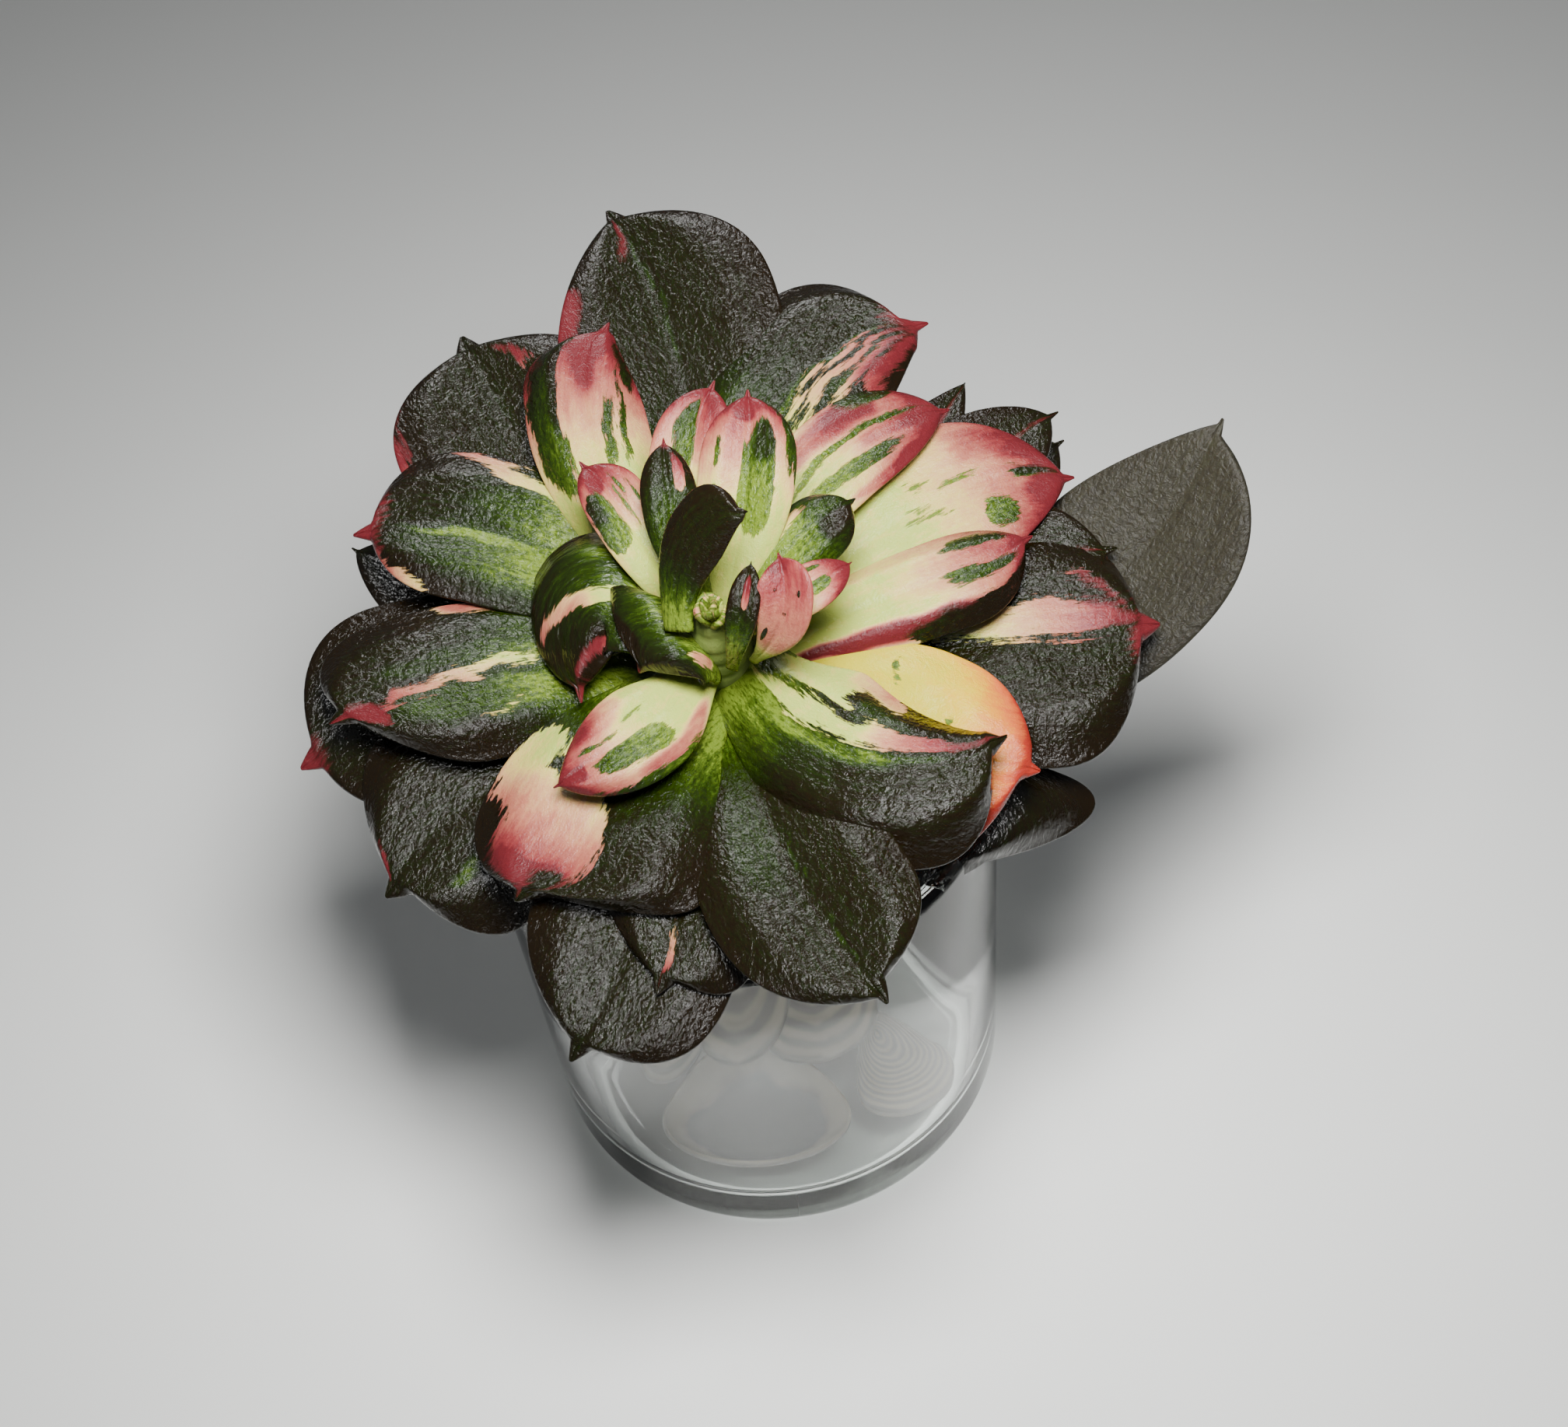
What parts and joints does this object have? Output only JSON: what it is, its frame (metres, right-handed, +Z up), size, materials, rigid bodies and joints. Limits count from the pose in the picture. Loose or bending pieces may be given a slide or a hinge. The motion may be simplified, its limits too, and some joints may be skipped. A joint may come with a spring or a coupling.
{
  "type": "potted black echeveria rosette in a glass tumbler",
  "caption": "Variegated dark echeveria rosette with pink, cream and green banded leaves, resting on the rim of a small clear glass that holds seashells.",
  "frame": {"origin": "middle of the flat underside of the glass tumbler's foot", "axes": "+Z up along the tumbler's axis, +X to the right and +Y to the back as the plant is seen from its front; the rosette leans towards -Y"},
  "size_m": [0.088, 0.0782, 0.0781],
  "materials": {
    "clear_glass": "clear, polished, rounded rim and thick foot",
    "pearl_shell": "cream seashell with fine growth lines, satin",
    "grey_shell": "grey and violet seashell with growth rings, satin",
    "woody_stem": "green-brown succulent stem with leaf scars, matt",
    "heart_leaf": "pale yellow-green young leaves, soft gloss",
    "dark_leaf": "near-black brown and green leaf with a crimson tip, pebbled gloss",
    "grey_leaf": "dark grey-green leaf, satin",
    "green_leaf": "mid green leaf with a dark glossy margin",
    "cream_leaf": "cream leaf streaked with pink and green, waxy gloss",
    "pink_leaf": "pink leaf banded with dark green, waxy gloss",
    "yellow_leaf": "yellow leaf with an orange margin and a red tip, waxy gloss"
  },
  "bodies": {
    "root": {"glass_tumbler": "clear_glass", "shell_oval": "grey_shell", "shell_tan": "grey_shell", "shell_pale": "pearl_shell", "shell_long": "pearl_shell", "shell_ribbed": "pearl_shell", "shell_spiral": "pearl_shell", "stem": "woody_stem", "heart_leaves": "heart_leaf", "leaf_dark_centre": "dark_leaf", "leaf_coral": "pink_leaf", "leaf_dark_small": "dark_leaf", "leaf_pink_tip": "pink_leaf", "leaf_green_right": "green_leaf", "leaf_inner_small": "green_leaf", "leaf_inner_left": "cream_leaf", "leaf_inner_right": "cream_leaf", "leaf_inner_back": "green_leaf", "leaf_front_lip": "green_leaf", "leaf_left_hook": "green_leaf", "leaf_small_front": "cream_leaf", "leaf_big_front": "dark_leaf", "leaf_cream_right": "cream_leaf", "leaf_pink_back": "pink_leaf", "leaf_striped_back": "pink_leaf", "leaf_cream_back": "cream_leaf", "leaf_left_top": "green_leaf", "leaf_left": "dark_leaf", "leaf_pink_patch": "pink_leaf", "leaf_yellow": "yellow_leaf", "leaf_back_right": "dark_leaf", "leaf_front_main": "dark_leaf", "leaf_front_mid": "dark_leaf", "leaf_right_band": "dark_leaf", "leaf_back": "dark_leaf", "leaf_back_left": "dark_leaf", "leaf_low_right": "dark_leaf", "leaf_low_left": "dark_leaf", "leaf_front_low": "dark_leaf", "leaf_far_back": "dark_leaf", "leaf_right_back": "dark_leaf", "leaf_left_low": "dark_leaf", "leaf_left_under": "dark_leaf", "leaf_right_under": "dark_leaf", "leaf_far_right": "grey_leaf", "leaf_far_under": "dark_leaf", "leaf_back_under": "dark_leaf"}
  },
  "joints": []
}
